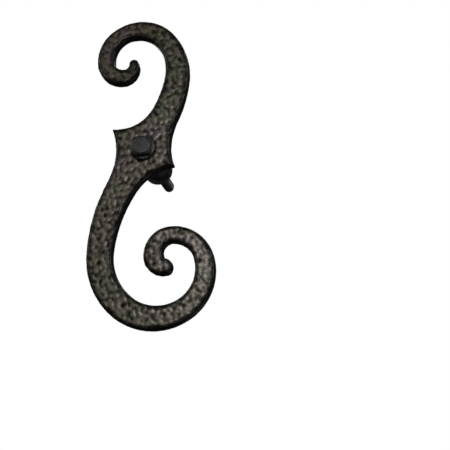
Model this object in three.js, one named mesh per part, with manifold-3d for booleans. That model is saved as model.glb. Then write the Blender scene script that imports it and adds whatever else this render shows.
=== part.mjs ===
// Scroll shutter dog: a cast S-shaped arm that turns freely on a lag screw standing out of a wall.
// Millimetres, +Z up. The wall is the plane y = 0 and the room side is -Y. The pivot is the Y axis.

import * as THREE from 'three';
import * as BufferGeometryUtils from 'three/addons/utils/BufferGeometryUtils.js';
import Module from 'manifold-3d';

const wasm = await Module();
wasm.setup();

// ---- driving dimensions

const PLATE = 6;                 // thickness of the arm
const EDGE = 1.4;                // rounding of the front edges; the back edges are square
const EDGE_STEPS = 2;
const WAIST = 17;                // width of the arm through the pivot
const PIVOT_HOLE = 9.7;

// Each limb is a chain of tangent arcs that leaves the pivot at a heading, in degrees from +X.
// An arc is [length, turn in degrees, width of the arm where the arc ends].
const UPPER_HEADING = 64;
const UPPER_ARCS = [
  [18, -5, 15],
  [26, 25, 13],
  [24, 48, 11],
  [24, 72, 8.5],
  [22, 76, 9.5],
  [14, 90, 8.5],
  [10, 96, 5],
];
const UPPER_CAP = 2;             // how far the rounded tip stands past the last arc
const LOWER_HEADING = -123;
const LOWER_ARCS = [
  [24, 4, 15.5],
  [36, 26, 13.5],
  [32, 54, 14],
  [32, 68, 11.5],
  [32, 77, 10],
  [22, 76, 8.5],
  [19, 112, 10.5],
  [7, 78, 8.5],
];
const LOWER_CAP = 3.5;
const ARC_STEP = 2;              // longest straight step along an edge
const CAP_STEPS = 8;

// The lozenge round the pivot: two sharp tips, each joined to both limbs by a hollow flare.
const LEFT_TIP = [-17.5, 12];
const RIGHT_TIP = [16, -9.5];
const FLARE_STEPS = 12;
// Where a flare meets its limb (distance along the limb) and how long its tangent handle is.
const FLARES = {
  upperLeft: { meets: 26, handle: 16.5 },
  upperRight: { meets: 24, handle: 17 },
  lowerRight: { meets: 25, handle: 16.5 },
  lowerLeft: { meets: 25, handle: 18 },
};

const SCREW = 6.35;              // 1/4 in lag screw
const SCREW_LENGTH = 76.2;       // 3 in under the head
const POINT_LENGTH = 6;
const HEAD_FLATS = 9.5;          // square head
const HEAD_HEIGHT = 4.4;
const CLEAR_BORE = 6.9;          // bore of every ring that the screw passes through
const BUSHING_OUTER = 9.5;
const END_PLAY = 0.4;            // gap on each side of the arm, so that it hangs free
const SMALL_WASHER_OUTER = 12.7; // the washers in front of the arm and behind it
const WALL_WASHER_OUTER = 15.9;
const WASHER = 1.6;
const TUBE_OUTER = 11.1;
const TUBE_LENGTH = 28.6;        // 1 1/8 in, so that a shutter fits behind the arm
const CHAMFER = 0.4;
const SEAT = 0.05;               // gap left between pieces that are clamped together
const ROUND_SEGMENTS = 36;
const CUT_BLOCK = 400;           // side of the block that trims the arm's back, wider than the arm

// ---- positions along the pivot, worked out from the wall towards the room

const wallWasherFront = WASHER;
const tubeBack = wallWasherFront + SEAT;
const tubeFront = tubeBack + TUBE_LENGTH;
const rearWasherBack = tubeFront + SEAT;
const rearWasherFront = rearWasherBack + WASHER;
const bushingBack = rearWasherFront + SEAT;
const bushingLength = PLATE + 2 * END_PLAY;
const armBack = bushingBack + END_PLAY;
const frontWasherBack = bushingBack + bushingLength + SEAT;
const headBack = frontWasherBack + WASHER + SEAT;

// ---- finishes

function ironMaterial() {
  return new THREE.MeshStandardMaterial({ color: 0x34322e, roughness: 0.55, metalness: 0.35 });
}

function blackSteelMaterial() {
  return new THREE.MeshStandardMaterial({ color: 0x2a2a2b, roughness: 0.45, metalness: 0.6 });
}

function bronzeMaterial() {
  return new THREE.MeshStandardMaterial({ color: 0x7a5c35, roughness: 0.4, metalness: 0.8 });
}

// ---- outline of the arm, in the plane of the plate

function walkLimb(heading, arcs) {
  const place = new THREE.Vector2(0, 0);
  const stations = [{ place: place.clone(), heading, width: WAIST, distance: 0 }];
  let width = WAIST;
  let distance = 0;
  for (const [length, turn, endWidth] of arcs) {
    const steps = Math.ceil(length / ARC_STEP);
    for (let i = 1; i <= steps; i++) {
      const along = THREE.MathUtils.degToRad(heading + turn * (i - 0.5) / steps);
      place.x += length / steps * Math.cos(along);
      place.y += length / steps * Math.sin(along);
      distance += length / steps;
      stations.push({
        place: place.clone(),
        heading: heading + turn * i / steps,
        width: THREE.MathUtils.lerp(width, endWidth, i / steps),
        distance,
      });
    }
    heading += turn;
    width = endWidth;
  }
  return stations;
}

function direction(degrees) {
  const angle = THREE.MathUtils.degToRad(degrees);
  return new THREE.Vector2(Math.cos(angle), Math.sin(angle));
}

// A point of the limb's edge; side is +1 on the left of its direction of travel and -1 on the right.
function edgePoint(station, side) {
  return station.place.clone().addScaledVector(direction(station.heading + 90), side * station.width / 2);
}

// From a tip of the lozenge along a hollow curve into the limb's edge, and on to the limb's end.
function flareAndEdge(tip, stations, side, flare) {
  const joint = stations.findIndex((station) => station.distance >= flare.meets);
  const meeting = edgePoint(stations[joint], side);
  const handle = meeting.clone().addScaledVector(direction(stations[joint].heading), -flare.handle);
  const curve = new THREE.QuadraticBezierCurve(new THREE.Vector2(...tip), handle, meeting);
  const edge = stations.slice(joint + 1).map((station) => edgePoint(station, side));
  return [...curve.getPoints(FLARE_STEPS), ...edge];
}

// The rounded end, from the limb's left edge round to its right edge.
function capPoints(end, reach) {
  const points = [];
  for (let i = 1; i < CAP_STEPS; i++) {
    const angle = Math.PI * i / CAP_STEPS;
    const point = end.place.clone();
    point.addScaledVector(direction(end.heading + 90), end.width / 2 * Math.cos(angle));
    point.addScaledVector(direction(end.heading), reach * Math.sin(angle));
    points.push(point);
  }
  return points;
}

function limbOutline(leftTip, rightTip, stations, leftFlare, rightFlare, cap) {
  const left = flareAndEdge(leftTip, stations, 1, leftFlare);
  const right = flareAndEdge(rightTip, stations, -1, rightFlare);
  return [...left, ...capPoints(stations.at(-1), cap), ...right.reverse()];
}

function armOutline() {
  const upper = limbOutline(LEFT_TIP, RIGHT_TIP, walkLimb(UPPER_HEADING, UPPER_ARCS),
    FLARES.upperLeft, FLARES.upperRight, UPPER_CAP);
  const lower = limbOutline(RIGHT_TIP, LEFT_TIP, walkLimb(LOWER_HEADING, LOWER_ARCS),
    FLARES.lowerRight, FLARES.lowerLeft, LOWER_CAP);
  return hangStraight([...upper.slice(0, -1), ...lower.slice(0, -1)]);
}

// Turns the outline about the pivot until its centre of area is straight below, as the arm hangs.
function hangStraight(points) {
  const centre = new THREE.Vector2(0, 0);
  let doubleArea = 0;
  points.forEach((a, i) => {
    const b = points[(i + 1) % points.length];
    const cross = a.cross(b);
    doubleArea += cross;
    centre.x += (a.x + b.x) * cross;
    centre.y += (a.y + b.y) * cross;
  });
  centre.divideScalar(3 * doubleArea);
  const turn = -Math.PI / 2 - centre.angle();
  return points.map((point) => point.clone().rotateAround(new THREE.Vector2(0, 0), turn));
}

// ---- solids

// A body of revolution about Y from [radius, y] corners.
function turned(corners) {
  return new THREE.LatheGeometry(corners.map(([r, y]) => new THREE.Vector2(r, y)), ROUND_SEGMENTS);
}

function toManifold(geometry) {
  const bare = geometry.clone();
  bare.deleteAttribute('normal');
  bare.deleteAttribute('uv');
  const merged = BufferGeometryUtils.mergeVertices(bare, 1e-4);
  return new wasm.Manifold(new wasm.Mesh({
    numProp: 3,
    vertProperties: new Float32Array(merged.attributes.position.array),
    triVerts: new Uint32Array(merged.index.array),
  }));
}

function fromManifold(manifold) {
  const mesh = manifold.getMesh();
  const geometry = new THREE.BufferGeometry();
  geometry.setAttribute('position', new THREE.BufferAttribute(mesh.vertProperties, 3));
  geometry.setIndex(new THREE.BufferAttribute(mesh.triVerts, 1));
  geometry.computeVertexNormals();
  return geometry;
}

// A ring about Y with chamfered outer rims, from its wall side to its room side.
function ring(outer, bore, back, length) {
  const rOut = outer / 2;
  const rIn = bore / 2;
  const front = -(back + length);
  return turned([
    [rIn, -back],
    [rIn, front],
    [rOut - CHAMFER, front],
    [rOut, front + CHAMFER],
    [rOut, -back - CHAMFER],
    [rOut - CHAMFER, -back],
    [rIn, -back],
  ]);
}

// The outline extruded with rounded edges on both faces, less the rounded layer on the wall side.
function scrollArm() {
  const shape = new THREE.Shape(armOutline());
  const hole = new THREE.Path().absarc(0, 0, PIVOT_HOLE / 2, 0, 2 * Math.PI, false);
  shape.holes.push(new THREE.Path(hole.getPoints(ROUND_SEGMENTS / 2).slice(0, -1)));
  const rounded = new THREE.ExtrudeGeometry(shape, {
    depth: PLATE - EDGE,
    bevelEnabled: true,
    bevelThickness: EDGE,
    bevelSize: EDGE,
    bevelOffset: -EDGE,
    bevelSegments: EDGE_STEPS,
  });
  const kept = new THREE.BoxGeometry(CUT_BLOCK, CUT_BLOCK, 2 * PLATE);
  kept.translate(0, 0, PLATE);
  const flatBacked = toManifold(rounded).intersect(toManifold(kept));
  const arm = new THREE.Mesh(fromManifold(flatBacked), ironMaterial());
  arm.name = 'scroll_arm';
  arm.rotation.x = Math.PI / 2;
  arm.position.y = -armBack;
  return arm;
}

// A square head with a turned crown, on a plain shank that tapers to a point.
function lagScrew() {
  const rScrew = SCREW / 2;
  const headFront = -(headBack + HEAD_HEIGHT);
  const tip = SCREW_LENGTH - headBack;
  const rCorner = HEAD_FLATS / Math.SQRT2;
  const crown = turned([
    [0, headFront],
    [HEAD_FLATS / 2 - CHAMFER, headFront],
    [rCorner, headFront + HEAD_HEIGHT / 3],
    [rCorner, -headBack],
    [0, -headBack],
  ]);
  const block = new THREE.BoxGeometry(HEAD_FLATS, HEAD_HEIGHT, HEAD_FLATS);
  block.translate(0, headFront + HEAD_HEIGHT / 2, 0);
  const shank = turned([
    [0, headFront + HEAD_HEIGHT / 2],
    [rScrew, headFront + HEAD_HEIGHT / 2],
    [rScrew, tip - POINT_LENGTH],
    [rScrew / 4, tip],
    [0, tip],
  ]);
  const head = toManifold(crown).intersect(toManifold(block));
  const screw = new THREE.Mesh(fromManifold(head.add(toManifold(shank))), blackSteelMaterial());
  screw.name = 'lag_screw';
  return screw;
}

function ringPiece(name, outer, back, length, material) {
  const piece = new THREE.Mesh(ring(outer, CLEAR_BORE, back, length), material);
  piece.name = name;
  return piece;
}

// ---- the dog

const dog = new THREE.Group();
dog.add(scrollArm());
dog.add(lagScrew());
dog.add(ringPiece('wall_washer', WALL_WASHER_OUTER, 0, WASHER, blackSteelMaterial()));
dog.add(ringPiece('standoff_tube', TUBE_OUTER, tubeBack, TUBE_LENGTH, blackSteelMaterial()));
dog.add(ringPiece('rear_washer', SMALL_WASHER_OUTER, rearWasherBack, WASHER, blackSteelMaterial()));
dog.add(ringPiece('pivot_bushing', BUSHING_OUTER, bushingBack, bushingLength, bronzeMaterial()));
dog.add(ringPiece('front_washer', SMALL_WASHER_OUTER, frontWasherBack, WASHER, blackSteelMaterial()));

export default dog;
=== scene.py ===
import math

import bpy
import numpy as np
from mathutils import Matrix, Vector
from mathutils.kdtree import KDTree


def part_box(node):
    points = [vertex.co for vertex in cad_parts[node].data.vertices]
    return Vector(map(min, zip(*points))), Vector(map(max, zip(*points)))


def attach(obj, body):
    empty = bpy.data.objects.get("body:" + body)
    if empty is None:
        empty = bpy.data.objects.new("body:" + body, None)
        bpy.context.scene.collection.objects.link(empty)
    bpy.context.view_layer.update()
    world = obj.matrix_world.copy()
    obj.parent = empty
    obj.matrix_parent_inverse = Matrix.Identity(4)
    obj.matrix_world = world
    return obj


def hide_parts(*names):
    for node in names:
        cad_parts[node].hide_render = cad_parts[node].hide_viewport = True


# Visual model of a scroll shutter dog: a hammered cast arm on a lag screw that stands out of a wall.
# Metres, +Z up. The pivot is the Y axis and the room side is -Y. Meshes are worked out in millimetres.

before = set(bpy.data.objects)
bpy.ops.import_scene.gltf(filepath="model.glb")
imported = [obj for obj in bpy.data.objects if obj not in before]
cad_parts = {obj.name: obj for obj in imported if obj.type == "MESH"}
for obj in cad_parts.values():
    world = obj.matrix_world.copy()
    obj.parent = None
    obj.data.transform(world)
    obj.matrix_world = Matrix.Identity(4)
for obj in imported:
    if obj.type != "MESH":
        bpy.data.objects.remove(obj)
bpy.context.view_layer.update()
MM = 0.001

# ---- the cast arm, millimetres

VOXEL = 0.385                # grid of the arm's skin
WELD = 0.001                 # corners of the CAD solid that lie closer than this are one
BASE_SINK = 0.03             # the whole skin is sunk this far, to leave room for its bumps
SKIN_RELAX = (3, 0.5, 0.52)  # rounds of smoothing before the marks, and the shares moved in and out
MARK_RELAX = (1, 0.3, 0.28)  # the same after the marks
WALL_FACING = 0.3            # on a side wall the normal's Y is smaller than this
FACE_FROM = (0.15, 0.7)      # how squarely the skin faces the room where the marks start and are full
RIM_FROM = (0.1, 0.6)        # the same for the marks that run over the edges

STRIKE_PITCH = 2.7           # spacing of the hammer marks on the face
STRIKE_BALL = (4.5, 7.2)     # smallest and largest radius of the hammer's ball
STRIKE_DEPTH = (0.06, 0.20)
STRIKE_LEAN = 0.05           # slope by which a mark may lean
ROW_PITCH = 0.87             # from one row of marks to the next, in pitches
SCATTER = 0.42               # how far a mark may lie from its place in the row, in pitches
TILE = 10.0                  # the marks are looked up in squares of this side
REACH = 5.0                  # farthest that one mark reaches
WARP = 0.45                  # how far the marks are pulled out of round
WARP_PITCH = 4.0
SOFT_ROUNDS = 3              # how often the marks are averaged over the skin
OWN_SHARE = 0.4              # what a point keeps of its own depth each time
MOTTLE_PITCH = 3.2           # softer lumps and hollows over the marks
MOTTLE_DEPTH = 0.045
SWELL_PITCH = 9.0            # broad rise and fall of the face
SWELL_DEPTH = 0.02

RIM_PITCH = 4.2              # longer marks that run over the edges
RIM_DEPTH = (-0.35, 0.45)
RIM_BALL = (5.0, 10.0)
RIM_WIDTH = (0.2, 2.4)       # from the edge, where those marks and the fall of the rim fade and end
RIM_FALL = 0.06              # how far the face falls towards its edge

CAST_GRAIN = 0.035           # height of the sand grain on the sides and the back
FINE_GRAIN_PITCH = 1.9
COARSE_GRAIN_PITCH = 4.5
COARSE_GRAIN = 0.6           # height of the coarse grain as a share of the fine
GRAIN_LIMIT = 0.1

# ---- how dark the arm is painted, from 0 for bright to 1 for black: partly dark paint and partly painted shade in the marks, painted shade on the rim and side walls

FULL_PIT = 0.24              # a mark of this depth, in millimetres, is painted black at the bottom: partly dark paint, partly painted shade
MOTTLE_SHADE = 0.41          # what the softer lumps add, darker in their hollows: partly dark paint, partly painted shade
FACE_SHADE = 0.04            # what the whole face has
BACK_SHADE = (0.35, 0.25)    # middle and swing of the shade of the back
BACK_PITCH = 2.0             # millimetres
UNSHADED_FROM = (0.6, 0.95)      # how square the skin is to the pivot where the face's colour starts to show through the painted shade of the side walls and where it is full
RIM_SHADE_BAND = (1.5, 2.7)       # millimetres from the edge where the painted rim shade starts to fade and where it ends
# how much of the face's colour the painted rim shade takes away at the edge
RIM_SHADE_STRENGTH = 0.8
RIM_RAGGED = 2.0             # how far a mark over the edge moves the end of the painted rim shade, in its depths

SEEDS = {
    "strikes": 23,
    "warp_x": 6,
    "warp_z": 7,
    "mottle": 9,
    "swell": 5,
    "fine_grain": 3,
    "coarse_grain": 4,
    "back": 12,
}
SINES = 48                   # sine ripples in each of the random surfaces
RIPPLE_SPREAD = (0.7, 1.6)   # shortest and longest ripple of a surface, in its pitches

# ---- the screw and its rings, millimetres

SHANK = 3.175                # radius of the screw
SCREW_POINTS = 64            # points round the screw
SCREW_SEAM = 32.0            # degrees between two faces from which their edge is sharp
HEAD_SEAT = 0.05             # gap between the head and its washer
HEAD_FLAT = 4.35             # radius where the crown of the square head starts to fall
CROWN_SLOPE = math.tan(math.radians(30))
CROWN_DOME = 0.12            # how far the middle of the crown stands in front of its rim
CORNER_POWER = 16.0          # the higher, the sharper the head's four corners
DOME_RINGS = (0.12, 0.5, 0.8, 0.95)
SLOPE_RINGS = (0.35, 0.7, 0.93)
# Rounded edges of the head: share of the square, and distance behind the crown's edge or the seat.
FRONT_EDGE = ((0.998, 0.06), (1.0, 0.2))
BACK_EDGE = ((1.0, -0.25), (0.995, -0.06), (0.985, 0.0))
NECK = ((0.5, 0.0), (0.15, 0.15), (0.0, 0.5))  # past the shank's radius, and behind the head
THREAD_LENGTH = 48.0
THREAD_PITCH = 2.54
THREAD_ROOT = 2.25           # radius between the threads
THREAD_ROWS = 18             # rows of vertices in a pitch
RIDGE_HALF = 0.26            # half the ridge's foot, in pitches
RIDGE_POWER = 0.9            # below 1, the ridge's sides bulge
RUNOUT = 2 * THREAD_PITCH    # over this length the thread rises out of the shank
POINT = 7.0                  # length of the gimlet point
POINT_TIP = 0.10             # radius of the core at the very tip, as a share of the root
POINT_THREAD = 0.75          # share of the point over which the thread's crest dies out
CREST_POWER = 0.8
BLUNT = 0.35                 # the last thread ends this far before the tip

RING_BORE = 3.45             # radius of the hole in the washers, the tube and the bushing
RING_POINTS = 96
RING_SEAM = 40.0
BORE_ROUND = 0.12            # rounding of the edges of those holes
ROUND_STEPS = 5
# Piece, CAD node, rounding of its front and back rims, and material slot.
RINGS = (
    ("front_flat_washer", "front_washer", 0.35, 0.1, "black_steel"),
    ("rear_flat_washer", "rear_washer", 0.1, 0.35, "black_steel"),
    ("standoff_spacer", "standoff_tube", 0.5, 0.5, "black_steel"),
    ("wall_flat_washer", "wall_washer", 0.4, 0.1, "black_steel"),
    ("bronze_bushing", "pivot_bushing", 0.3, 0.3, "bronze"),
)

# ---- studio, metres

DOME_RADIUS = 3.0
FLOOR_RADIUS = 2.9
FLOOR_HEIGHT = -0.45
FLOOR_GREY = 0.80            # in the middle of the floor
AIR_LIGHT = 0.015
# Name, place, aim, diameter and watts. The side walls do not mirror back_key to the camera.
LAMPS = (
    ("key", (0.05, -0.493, 0.055), (0, 0, -0.01), 0.17, 0.37),
    ("fill_left", (-0.82, -0.62, 0.36), (0, 0, 0.02), 0.5, 1.45),
    ("fill_right", (0.90, -0.45, 0.30), (0, 0, 0), 0.5, 2.0),
    ("back_key", (-0.66, 0.69, 0.48), (0, 0, 0), 0.5, 6.0),
    ("kicker", (0.28, 0.22, -0.33), (0, -0.015, 0), 0.15, 0.15),
    ("back_fill", (0.30, 0.60, 0.80), (0, 0, 0), 0.6, 3.0),
)

# ---- camera

LENS = 76.0                  # millimetres
SENSOR = 36.0
CLIP = (0.01, 20.0)          # metres
CAMERA_AWAY = 495.4          # millimetres along the line of sight from the camera to the pivot
CAMERA_RIGHT = 8.0           # degrees to the right of the plate's axis
CAMERA_BELOW = 15.0          # degrees below it
PIVOT_LEFT = 42.5            # millimetres from the line of sight to the pivot
PIVOT_UP = 39.9
LEAN = -1.66                 # degrees that the arm, as it hangs here, is turned from the one pictured

rng = np.random.default_rng(SEEDS["strikes"])


# ---- mesh helpers

def link(name, data):
    thing = bpy.data.objects.new(name, data)
    bpy.context.scene.collection.objects.link(thing)
    return thing


def smooth(mesh):
    mesh.polygons.foreach_set("use_smooth", np.ones(len(mesh.polygons), bool))


def smoothstep(low, high, value):
    t = np.clip((value - low) / (high - low), 0, 1)
    return t * t * (3 - 2 * t)


def angles(count):
    return np.arange(count) / count * 2 * math.pi


def circle(radius, y, count):
    """A ring about the pivot axis. radius and y may be one number or one for each point."""
    angle = angles(count)
    return np.stack([radius * np.cos(angle), y + 0 * angle, radius * np.sin(angle)], 1)


def loft(name, rings, seam, closed=False, poles=None):
    """A skin over rings of the same count. closed joins the last to the first; poles are end points."""
    count = len(rings[0])
    points = np.concatenate(rings)
    faces = []
    last = len(rings) if closed else len(rings) - 1
    for i in range(last):
        a, b = i * count, (i + 1) % len(rings) * count
        for j in range(count):
            k = (j + 1) % count
            faces.append((a + j, a + k, b + k, b + j))
    if poles is not None:
        first, end = len(points), len(points) + 1
        points = np.concatenate([points, np.asarray(poles)])
        tail = (len(rings) - 1) * count
        for j in range(count):
            k = (j + 1) % count
            faces.append((first, k, j))
            faces.append((end, tail + j, tail + k))
    return make_piece(name, points, faces, seam)


def make_piece(name, points, faces, seam):
    mesh = bpy.data.meshes.new(name)
    mesh.from_pydata([tuple(p) for p in points * MM], [], faces)
    mesh.validate()
    mesh.update()
    smooth(mesh)
    mesh.set_sharp_from_angle(angle=math.radians(seam))
    return link(name, mesh)


# ---- the skin of the cast arm

def cast_skin(node):
    """A fine, even skin over a CAD node, in millimetres."""
    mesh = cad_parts[node].data.copy()
    mesh.transform(Matrix.Scale(1 / MM, 4))
    mesh.materials.clear()
    block = link("arm_block", mesh)
    weld = block.modifiers.new("weld", "WELD")
    weld.merge_threshold = WELD
    skin = block.modifiers.new("skin", "REMESH")
    skin.mode = "VOXEL"
    skin.voxel_size = VOXEL
    graph = bpy.context.evaluated_depsgraph_get()
    fine = bpy.data.meshes.new_from_object(block.evaluated_get(graph))
    bpy.data.objects.remove(block)
    return fine


def read(items, key, kind, width):
    """One value of every item of a mesh, as rows of numbers."""
    data = np.zeros(len(items) * width, kind)
    items.foreach_get(key, data)
    return data.reshape(-1, width)


def move_points(mesh, points):
    mesh.vertices.foreach_set("co", points.astype(np.float32).ravel())
    mesh.update()


def set_layer(mesh, name, values):
    layer = mesh.attributes.new(name, "FLOAT", "POINT")
    layer.data.foreach_set("value", values.clip(0, 1).astype(np.float32))


def neighbour_mean(values, edges):
    """The mean of each point's neighbours along the skin's edges, for one value or for three."""
    ends = edges.ravel()
    others = edges[:, ::-1].ravel()
    counts = np.bincount(ends, minlength=len(values)).clip(1)
    sums = [np.bincount(ends, column[others], len(values)) for column in np.atleast_2d(values.T)]
    return np.squeeze((np.array(sums) / counts).T)


def relax(points, edges, rounds, push, pull):
    """Smooths a skin without shrinking it, by moving its points in and out by turns."""
    for _ in range(rounds):
        for share in (push, -pull):
            points = points + share * (neighbour_mean(points, edges) - points)
    return points


def soften(values, edges):
    """Averages a value over the skin's points with its neighbours, again and again."""
    for _ in range(SOFT_ROUNDS):
        values = OWN_SHARE * values + (1 - OWN_SHARE) * neighbour_mean(values, edges)
    return values


def distance_to_wall(points, normals):
    """How far each point is from the nearest side wall, seen square to the plate."""
    wall = points[np.abs(normals[:, 1]) < WALL_FACING]
    tree = KDTree(len(wall))
    for i, (x, _, z) in enumerate(wall):
        tree.insert((x, 0, z), i)
    tree.balance()
    return np.array([tree.find((x, 0, z))[2] for x, _, z in points])


def waves(points, pitch, surface, through=0.0):
    """Smooth random ripples, mostly from -1 to 1: sines that run in random directions.
    through says how much they run along the pivot; 0 keeps them in the plane of the face."""
    source = np.random.default_rng(SEEDS[surface])
    total = np.zeros(len(points))
    for _ in range(SINES):
        direction = source.normal(size=3) * (1, through, 1)
        direction /= np.linalg.norm(direction)
        turns = 2 * math.pi / (pitch * source.uniform(*RIPPLE_SPREAD))
        total += np.sin(points @ direction * turns + source.uniform(0, 2 * math.pi))
    return total / math.sqrt(3 * SINES / 2)


# ---- hammer marks and grain

def field_of_strikes(low, high, pitch, ball, depth):
    """Random overlapping ball marks over a rectangle: centre, ball radius, depth and lean of each."""
    xs = np.arange(low[0] - pitch, high[0] + pitch, pitch)
    zs = np.arange(low[1] - pitch, high[1] + pitch, pitch * ROW_PITCH)
    gx, gz = np.meshgrid(xs, zs)
    gx = gx + (np.arange(len(zs))[:, None] % 2) * pitch / 2
    count = gx.size
    rows = np.stack([gx.ravel(), gz.ravel()], 1)
    return {
        "centre": rows + rng.uniform(-SCATTER, SCATTER, (count, 2)) * pitch,
        "ball": rng.uniform(*ball, count),
        "depth": rng.uniform(*depth, count),
        "lean": rng.normal(0, STRIKE_LEAN, (count, 2)),
    }


def strike_depth(x, z, strikes):
    """How far below the plane the marks lie at each point: the deepest mark wins."""
    found = np.zeros(len(x))
    tiles = np.floor(np.stack([x, z], 1) / TILE).astype(int)
    corners, tile_of = np.unique(tiles, axis=0, return_inverse=True)
    order = np.argsort(tile_of.ravel(), kind="stable")
    ends = np.cumsum(np.bincount(tile_of.ravel()))
    for corner, part in zip(corners, np.split(order, ends[:-1])):
        away = np.abs(strikes["centre"] - (corner + 0.5) * TILE).max(1)
        near = np.flatnonzero(away < TILE / 2 + REACH)
        dx = x[part, None] - strikes["centre"][None, near, 0]
        dz = z[part, None] - strikes["centre"][None, near, 1]
        fall = (dx ** 2 + dz ** 2) / (2 * strikes["ball"][near])
        lean = dx * strikes["lean"][near, 0] + dz * strikes["lean"][near, 1]
        found[part] = (strikes["depth"][near] - fall + lean).max(1)
    return np.maximum(found, 0)


def hammer_marks(points):
    """Depth at each point of the marks on the face, and of those that run over the edges."""
    low, high = points[:, [0, 2]].min(0), points[:, [0, 2]].max(0)
    face_marks = field_of_strikes(low, high, STRIKE_PITCH, STRIKE_BALL, STRIKE_DEPTH)
    rim_marks = field_of_strikes(low, high, RIM_PITCH, RIM_BALL, RIM_DEPTH)
    sideways = WARP * waves(points, WARP_PITCH, "warp_x")
    upwards = WARP * waves(points, WARP_PITCH, "warp_z")
    face_depth = strike_depth(points[:, 0] + sideways, points[:, 2] + upwards, face_marks)
    rim_depth = strike_depth(points[:, 0], points[:, 2], rim_marks)
    return face_depth, rim_depth


def cast_grain(points, share):
    """Sand grain over the skin; share says how much of it each point has."""
    fine = waves(points, FINE_GRAIN_PITCH, "fine_grain", 1.0)
    coarse = waves(points, COARSE_GRAIN_PITCH, "coarse_grain", 1.0)
    return (CAST_GRAIN * share * (fine + COARSE_GRAIN * coarse)).clip(-GRAIN_LIMIT, GRAIN_LIMIT)


def shade_skin(mesh, points, normals, face_paint_and_shade, edge):
    """Stores how dark each point is painted, with dark paint and painted shade in the marks, and how much
    of the face's colour shows through the painted shade of the rim and the side walls.
    """
    back_shade = BACK_SHADE[0] + BACK_SHADE[1] * waves(points, BACK_PITCH, "back")
    set_layer(mesh, "pit", np.where(normals[:, 1] < 0, face_paint_and_shade, back_shade))
    # painted shade: the face's colour goes black along the rim and on the side walls
    rim_shade = 1 - smoothstep(*RIM_SHADE_BAND, edge)
    unshaded_share = smoothstep(*UNSHADED_FROM, np.abs(normals[:, 1]))
    set_layer(mesh, "unshaded_share", unshaded_share * (1 - RIM_SHADE_STRENGTH * rim_shade))


def hammered_arm():
    """The arm: its CAD shape as a fine skin, sunk by the marks and painted darker by their depth, partly as
    dark paint and partly as painted shade.
    """
    mesh = cast_skin("scroll_arm")
    mesh.name = "hammered_arm"
    edges = read(mesh.edges, "vertices", np.int32, 2)
    points = relax(read(mesh.vertices, "co", np.float32, 3).astype(float), edges, *SKIN_RELAX)
    move_points(mesh, points)
    normals = read(mesh.vertex_normals, "vector", np.float32, 3).astype(float)

    facing = np.clip(-normals[:, 1], 0, 1)
    to_wall = distance_to_wall(points, normals)
    rim = 1 - smoothstep(*RIM_WIDTH, to_wall)
    on_face = smoothstep(*FACE_FROM, facing)
    on_rim = smoothstep(*RIM_FROM, facing) * rim
    face_depth, rim_depth = hammer_marks(points)
    depth = soften(face_depth * on_face + rim_depth * on_rim, edges)
    mottle = waves(points, MOTTLE_PITCH, "mottle") * on_face
    swell = SWELL_DEPTH * waves(points, SWELL_PITCH, "swell")

    sink = depth + RIM_FALL * rim ** 2 * on_face + cast_grain(points, 1 - on_face)
    sink = sink + on_face * swell + MOTTLE_DEPTH * mottle + BASE_SINK
    points = relax(points - normals * sink[:, None], edges, *MARK_RELAX)
    move_points(mesh, points * MM)
    smooth(mesh)
    # painted in the marks and their lumps: darker the deeper they lie, partly dark paint and partly painted
    # shade
    face_paint_and_shade = depth / FULL_PIT + MOTTLE_SHADE * mottle + FACE_SHADE
    shade_skin(mesh, points, normals, face_paint_and_shade, to_wall - RIM_RAGGED * rim_depth)
    return link("hammered_arm", mesh)


# ---- the screw and its rings

def square_head(front, back, half_flat):
    """Radius and place of the rings of a square head, from the middle of its crown to its seat."""
    angle = angles(SCREW_POINTS)
    corners = np.abs(np.cos(angle)) ** CORNER_POWER + np.abs(np.sin(angle)) ** CORNER_POWER
    square = half_flat * corners ** (-1 / CORNER_POWER)

    def crown(radius):
        return front + CROWN_DOME + np.clip(radius - HEAD_FLAT, 0, None) * CROWN_SLOPE

    rings = [(HEAD_FLAT * share, front + CROWN_DOME * share ** 2) for share in DOME_RINGS]
    rings.append((HEAD_FLAT, crown(HEAD_FLAT)))
    for share in SLOPE_RINGS:
        radius = HEAD_FLAT + (square - HEAD_FLAT) * share
        rings.append((radius, crown(radius)))
    rings += [(square * share, crown(square) + behind) for share, behind in FRONT_EDGE]
    rings += [(square * share, back + behind) for share, behind in BACK_EDGE]
    return rings


def thread(start, tip):
    """Rings of a thread that rises out of the shank and runs down into a gimlet point."""
    rings = []
    around = angles(SCREW_POINTS) / (2 * math.pi)
    step = THREAD_PITCH / THREAD_ROWS
    for y in np.arange(start + step, tip - BLUNT, step):
        turn = (y / THREAD_PITCH - around) % 1.0
        ridge = np.clip(1 - np.abs(turn - 0.5) / RIDGE_HALF, 0, 1) ** RIDGE_POWER
        left = tip - y
        root = THREAD_ROOT * min(1.0, POINT_TIP + (1 - POINT_TIP) * left / POINT)
        crest = SHANK * min(1.0, (left / (POINT * POINT_THREAD)) ** CREST_POWER)
        core = SHANK + (root - SHANK) * smoothstep(0.0, RUNOUT, y - start)
        rings.append((core + np.maximum(crest - core, 0) * ridge, y))
    return rings


def lag_screw():
    """Square head, plain shank, rolled thread and gimlet point, as one skin."""
    low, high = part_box("lag_screw")
    front, tip = low.y / MM, high.y / MM
    head_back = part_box("front_washer")[0].y / MM - HEAD_SEAT
    thread_start = tip - THREAD_LENGTH
    rings = square_head(front, head_back, high.x / MM)
    rings += [(SHANK + wider, head_back + behind) for wider, behind in NECK]
    rings.append((SHANK, thread_start))
    rings += thread(thread_start, tip)
    skin = [circle(radius, y, SCREW_POINTS) for radius, y in rings]
    return loft("square_head_lag_screw", skin, SCREW_SEAM, poles=[(0, front, 0), (0, tip, 0)])


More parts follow.
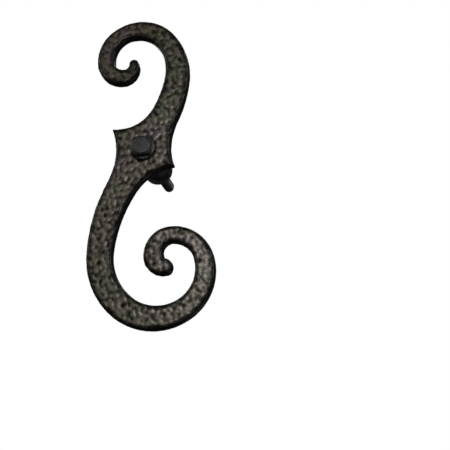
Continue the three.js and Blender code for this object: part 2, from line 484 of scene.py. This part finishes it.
def rounded_section(inner, outer, front, back, round_front, round_back):
    """Corners of a ring's section, (radius, y), with rounded outer rims and small inner ones."""
    corners = [
        (outer, front, round_front, -90, 0),
        (outer, back, round_back, 0, 90),
        (inner, back, BORE_ROUND, 90, 180),
        (inner, front, BORE_ROUND, 180, 270),
    ]
    section = []
    for radius, y, r, start, stop in corners:
        side = 1 if radius == inner else -1
        end = 1 if y == front else -1
        for angle in np.radians(np.linspace(start, stop, ROUND_STEPS)):
            section.append((radius + side * r + r * math.cos(angle), y + end * r + r * math.sin(angle)))
    return section


def ring_piece(name, node, round_front, round_back):
    low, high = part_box(node)
    front, back, outer = low.y / MM, high.y / MM, high.x / MM
    section = rounded_section(RING_BORE, outer, front, back, round_front, round_back)
    return loft(name, [circle(radius, y, RING_POINTS) for radius, y in section], RING_SEAM, closed=True)


# ---- material helpers

def new_material(name):
    material = bpy.data.materials.new(name)
    material.use_nodes = True
    nodes = material.node_tree.nodes
    where = nodes.new("ShaderNodeTexCoord").outputs["Object"]
    return material, nodes, material.node_tree.links, nodes["Principled BSDF"], where


def add(nodes, kind, **inputs):
    node = nodes.new(kind)
    for key, value in inputs.items():
        if hasattr(node, key):
            setattr(node, key, value)
        else:
            node.inputs[key.replace("_", " ")].default_value = value
    return node


def grey(level):
    return level, level, level


def ramp(nodes, links, source, stops):
    node = nodes.new("ShaderNodeValToRGB")
    elements = node.color_ramp.elements
    while len(elements) < len(stops):
        elements.new(0.5)
    for element, (position, colour) in zip(elements, stops):
        element.position = position
        element.color = (*colour, 1)
    links.new(source, node.inputs["Fac"])
    return node.outputs["Color"]


def mixed(nodes, links, kind, factor, a, b):
    node = nodes.new("ShaderNodeMix")
    node.data_type = "RGBA"
    node.blend_type = kind
    for name, value in (("Factor", factor), ("A", a), ("B", b)):
        socket = next(s for s in node.inputs if s.name == name and s.enabled)
        if hasattr(value, "links"):
            links.new(value, socket)
        else:
            socket.default_value = value
    return next(s for s in node.outputs if s.enabled)


def attribute(nodes, name):
    node = nodes.new("ShaderNodeAttribute")
    node.attribute_name = name
    return node.outputs["Fac"]


def noise(nodes, links, where, scale, detail, rough=0.55):
    node = add(nodes, "ShaderNodeTexNoise", Scale=scale, Detail=detail, Roughness=rough)
    links.new(where, node.inputs["Vector"])
    return node.outputs["Fac"]


def uneven_gloss(nodes, links, shader, source, smoothest, dullest):
    gloss = ramp(nodes, links, source, [(0.3, grey(smoothest)), (0.7, grey(dullest))])
    links.new(gloss, shader.inputs["Roughness"])


def fine_bump(nodes, links, shader, height, strength, distance):
    bump = add(nodes, "ShaderNodeBump", Strength=strength, Distance=distance)
    links.new(height, bump.inputs["Height"])
    links.new(bump.outputs["Normal"], shader.inputs["Normal"])


# ---- materials

def iron_tint(nodes, links, where):
    """Patches from olive to a faint red brown."""
    return ramp(nodes, links, noise(nodes, links, where, 95.0, 2.0), [
        (0.36, (0.076, 0.080, 0.046)),
        (0.46, (0.090, 0.076, 0.046)),
        (0.54, (0.091, 0.071, 0.050)),
        (0.64, (0.088, 0.068, 0.062)),
    ])


def hammered_iron():
    """Satin black over iron: lighter on the high spots and darker in the marks, partly as paint and partly
    as painted highlight and shade; black on the rim and sides as painted shade.
    """
    material, nodes, links, shader, where = new_material("hammered_iron")
    unshaded_share = attribute(nodes, "unshaded_share")
    # painted in the marks: lighter on the high spots, darker in the marks, partly paint and partly painted
    # highlight and shade
    pit_paint_and_shade = ramp(nodes, links, attribute(nodes, "pit"), [
        (0.0, grey(2.2)),
        (0.5, grey(0.95)),
        (1.0, grey(0.14)),
    ])
    speck = ramp(nodes, links, noise(nodes, links, where, 800.0, 3.0), [
        (0.35, grey(0.84)),
        (0.65, grey(1.14)),
    ])
    colour = mixed(nodes, links, "MULTIPLY", 1.0, iron_tint(nodes, links, where), pit_paint_and_shade)
    colour = mixed(nodes, links, "MULTIPLY", 0.3, colour, speck)
    # painted shade: near black on the rim and side walls
    colour = mixed(nodes, links, "MIX", unshaded_share, (0.018, 0.017, 0.015, 1), colour)
    links.new(colour, shader.inputs["Base Color"])
    # painted shade and highlight in the reflections: dimmer on the rim, the side walls and in the marks,
    # brighter on the high spots
    reflection_shade = mixed(nodes, links, "MIX", unshaded_share, (0.25, 0.25, 0.24, 1), pit_paint_and_shade)
    links.new(reflection_shade, shader.inputs["Specular Tint"])
    shader.inputs["Metallic"].default_value = 0.3
    shader.inputs["Specular IOR Level"].default_value = 0.8
    uneven_gloss(nodes, links, shader, noise(nodes, links, where, 260.0, 4.0), 0.30, 0.40)
    fine_bump(nodes, links, shader, noise(nodes, links, where, 1400.0, 5.0, 0.65), 0.08, 0.00010)
    return material


def black_steel():
    material, nodes, links, shader, where = new_material("black_steel")
    colour = ramp(nodes, links, noise(nodes, links, where, 420.0, 4.0), [
        (0.3, (0.065, 0.065, 0.066)),
        (0.7, (0.110, 0.109, 0.105)),
    ])
    links.new(colour, shader.inputs["Base Color"])
    shader.inputs["Metallic"].default_value = 0.6
    uneven_gloss(nodes, links, shader, noise(nodes, links, where, 700.0, 3.0), 0.34, 0.50)
    fine_bump(nodes, links, shader, noise(nodes, links, where, 2600.0, 3.0), 0.2, 0.00005)
    return material


def bronze():
    material, nodes, links, shader, where = new_material("bronze")
    colour = ramp(nodes, links, noise(nodes, links, where, 800.0, 5.0), [
        (0.3, (0.16, 0.095, 0.04)),
        (0.7, (0.34, 0.21, 0.09)),
    ])
    links.new(colour, shader.inputs["Base Color"])
    shader.inputs["Metallic"].default_value = 0.9
    shader.inputs["Roughness"].default_value = 0.42
    return material


def stage_paper(name, middle):
    """Paper that glows from a grey at the middle of the stage to white farther out."""
    material, nodes, links, shader, where = new_material(name)
    shader.inputs["Base Color"].default_value = (0, 0, 0, 1)
    shader.inputs["Roughness"].default_value = 1.0
    shader.inputs["Specular IOR Level"].default_value = 0.0
    away = add(nodes, "ShaderNodeVectorMath", operation="LENGTH")
    links.new(where, away.inputs[0])
    glow = ramp(nodes, links, away.outputs["Value"], [(0.15, grey(middle)), (0.95, grey(1))])
    links.new(glow, shader.inputs["Emission Color"])
    shader.inputs["Emission Strength"].default_value = 1.0
    return material


# ---- studio

def paper_over(piece, name, middle):
    """Gives a part of the stage its name and paper; only the camera sees it."""
    piece.name = name
    piece.data.materials.append(stage_paper(f"{name}_paper", middle))
    piece.visible_diffuse = False
    piece.visible_glossy = False
    piece.visible_transmission = False
    piece.visible_shadow = False


def studio():
    bpy.ops.mesh.primitive_uv_sphere_add(segments=48, ring_count=24, radius=DOME_RADIUS, location=(0, 0, 0))
    dome = bpy.context.object
    paper_over(dome, "backdrop", 1.0)
    middle = (0, 0, FLOOR_HEIGHT)
    bpy.ops.mesh.primitive_circle_add(vertices=96, radius=FLOOR_RADIUS, fill_type="NGON", location=middle)
    floor = bpy.context.object
    paper_over(floor, "floor", FLOOR_GREY)


def area_light(name, at, aim, size, watts):
    data = bpy.data.lights.new(name, "AREA")
    data.shape = "DISK"
    data.size = size
    data.energy = watts
    lamp = link(name, data)
    lamp.location = at
    lamp.visible_camera = False
    lamp.rotation_mode = "QUATERNION"
    lamp.rotation_quaternion = (Vector(aim) - Vector(at)).to_track_quat("-Z", "Y")


def lights():
    world = bpy.data.worlds.new("studio_air")
    bpy.context.scene.world = world
    world.use_nodes = True
    background = world.node_tree.nodes["Background"]
    background.inputs["Color"].default_value = (1, 1, 1, 1)
    background.inputs["Strength"].default_value = AIR_LIGHT
    for lamp in LAMPS:
        area_light(*lamp)


def set_camera():
    data = bpy.data.cameras.new("camera")
    camera = link("camera", data)
    data.sensor_width = SENSOR
    data.lens = LENS
    data.clip_start, data.clip_end = CLIP
    aside, below = math.radians(CAMERA_RIGHT), math.radians(CAMERA_BELOW)
    level = math.cos(below)
    forward = Vector((-math.sin(aside) * level, math.cos(aside) * level, math.sin(below)))
    right = Vector((math.cos(aside), math.sin(aside), 0))
    up = right.cross(forward)
    offset = forward * CAMERA_AWAY - right * PIVOT_LEFT + up * PIVOT_UP
    pivot = Vector((0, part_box("scroll_arm")[0].y, 0))
    turn = Matrix.Rotation(math.radians(-LEAN), 4, "Y")
    axes = Matrix((right, up, -forward)).transposed().to_4x4()
    camera.matrix_world = turn @ (Matrix.Translation(pivot - offset * MM) @ axes)
    bpy.context.scene.camera = camera
    bpy.context.scene.view_settings.view_transform = "Standard"


# ---- the pieces and what they ride on

finishes = {
    "hammered_iron": hammered_iron(),
    "black_steel": black_steel(),
    "bronze": bronze(),
}


def place(piece, body, node, slot):
    piece.data.materials.append(finishes[slot])
    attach(piece, body)
    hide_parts(node)


place(hammered_arm(), "arm", "scroll_arm", "hammered_iron")
place(lag_screw(), "wall_mount", "lag_screw", "black_steel")
for name, node, round_front, round_back, slot in RINGS:
    place(ring_piece(name, node, round_front, round_back), "wall_mount", node, slot)

set_camera()
studio()
lights()
